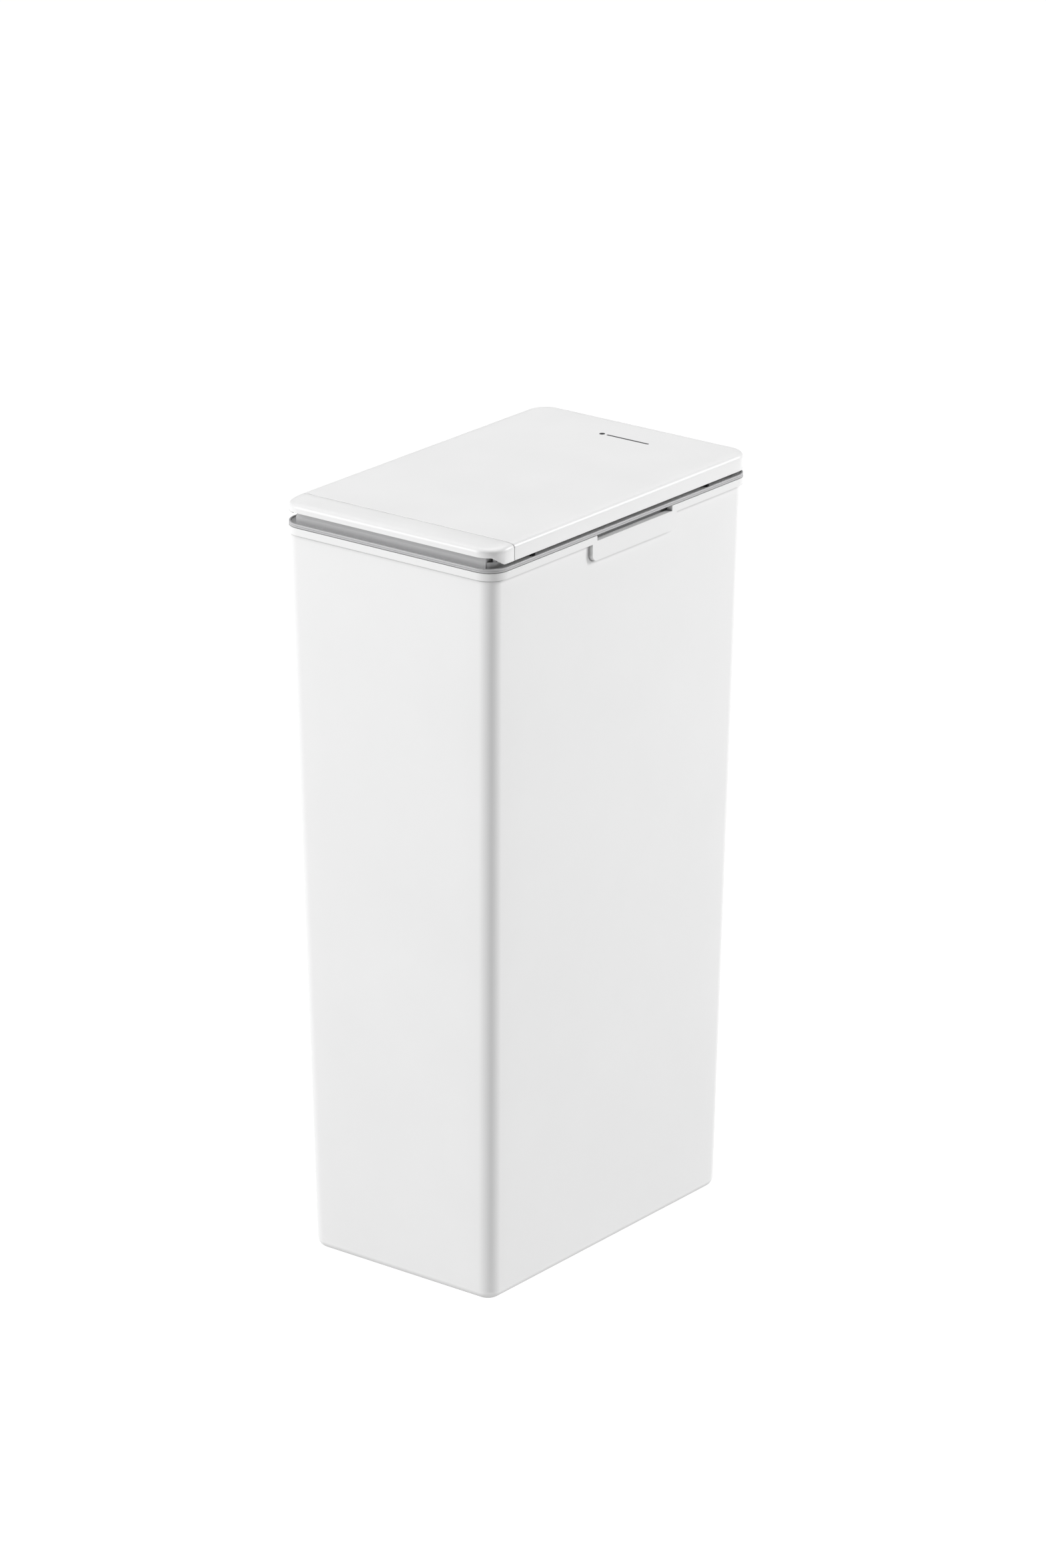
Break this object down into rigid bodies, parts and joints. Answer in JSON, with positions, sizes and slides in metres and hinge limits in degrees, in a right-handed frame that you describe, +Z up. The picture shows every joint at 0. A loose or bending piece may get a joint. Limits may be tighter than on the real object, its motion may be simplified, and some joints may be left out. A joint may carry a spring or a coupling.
{
  "type": "kitchen waste bin",
  "caption": "Slim free-standing kitchen waste bin: tapered bucket, lift-off lid frame, rear-hinged lid and a press bar along its front that works the latch.",
  "frame": {"origin": "centre of the bin's outline in plan, on the floor under the base", "axes": "+Z up, +Y towards the hinge at the back, +X to the right of someone who faces the front"},
  "size_m": [0.2, 0.313, 0.5957],
  "materials": {
    "white_plastic": "fine satin moulded polypropylene, white",
    "grey_plastic": "satin moulded polypropylene, light grey",
    "liner_plastic": "satin moulded polypropylene, off-white",
    "black_acetal": "smooth acetal, black",
    "steel": "bright drawn steel",
    "zinc": "zinc-plated steel",
    "rubber": "matt rubber, dark grey"
  },
  "bodies": {
    "bucket": {"bucket": "white_plastic"},
    "frame": {"lid_frame": "grey_plastic", "latch_keeper": "zinc", "keeper_screw_left": "zinc", "keeper_screw_right": "zinc", "hinge_pin_left": "steel", "hinge_pin_right": "steel", "torsion_spring_left": "steel", "torsion_spring_right": "steel", "buffer_front_left": "rubber", "buffer_front_right": "rubber", "buffer_rear_left": "rubber", "buffer_rear_right": "rubber"},
    "lid": {"lid_shell": "white_plastic", "lid_liner": "liner_plastic", "lid_bracket_left": "zinc", "lid_bracket_right": "zinc", "bracket_screw_left_front": "zinc", "bracket_screw_left_rear": "zinc", "bracket_screw_right_front": "zinc", "bracket_screw_right_rear": "zinc", "liner_screw_front_left": "zinc", "liner_screw_front_right": "zinc", "liner_screw_rear_left": "zinc", "liner_screw_rear_right": "zinc", "bar_pin_left": "steel", "bar_pin_right": "steel", "bar_spring_left": "steel", "bar_spring_right": "steel"},
    "bar": {"press_bar": "white_plastic", "latch_hook": "black_acetal", "hook_screw": "zinc"}
  },
  "joints": [
    {"name": "frame_lift", "type": "slide", "parent": "bucket", "child": "frame", "axis": [0, 0, 1], "range_m": [0, 0.06]},
    {"name": "lid_hinge", "type": "hinge", "parent": "frame", "child": "lid", "pos_m": [0, 0.1513, 0.5859], "axis": [-1, 0, 0], "range_deg": [0, 88]},
    {"name": "bar_press", "type": "hinge", "parent": "lid", "child": "bar", "pos_m": [0, -0.1358, 0.586], "axis": [1, 0, 0], "range_deg": [0, 5], "stiffness_Nm_per_rad": 2.5, "springref_deg": -1.72, "deforming": ["bar_spring_left", "bar_spring_right"]}
  ]
}
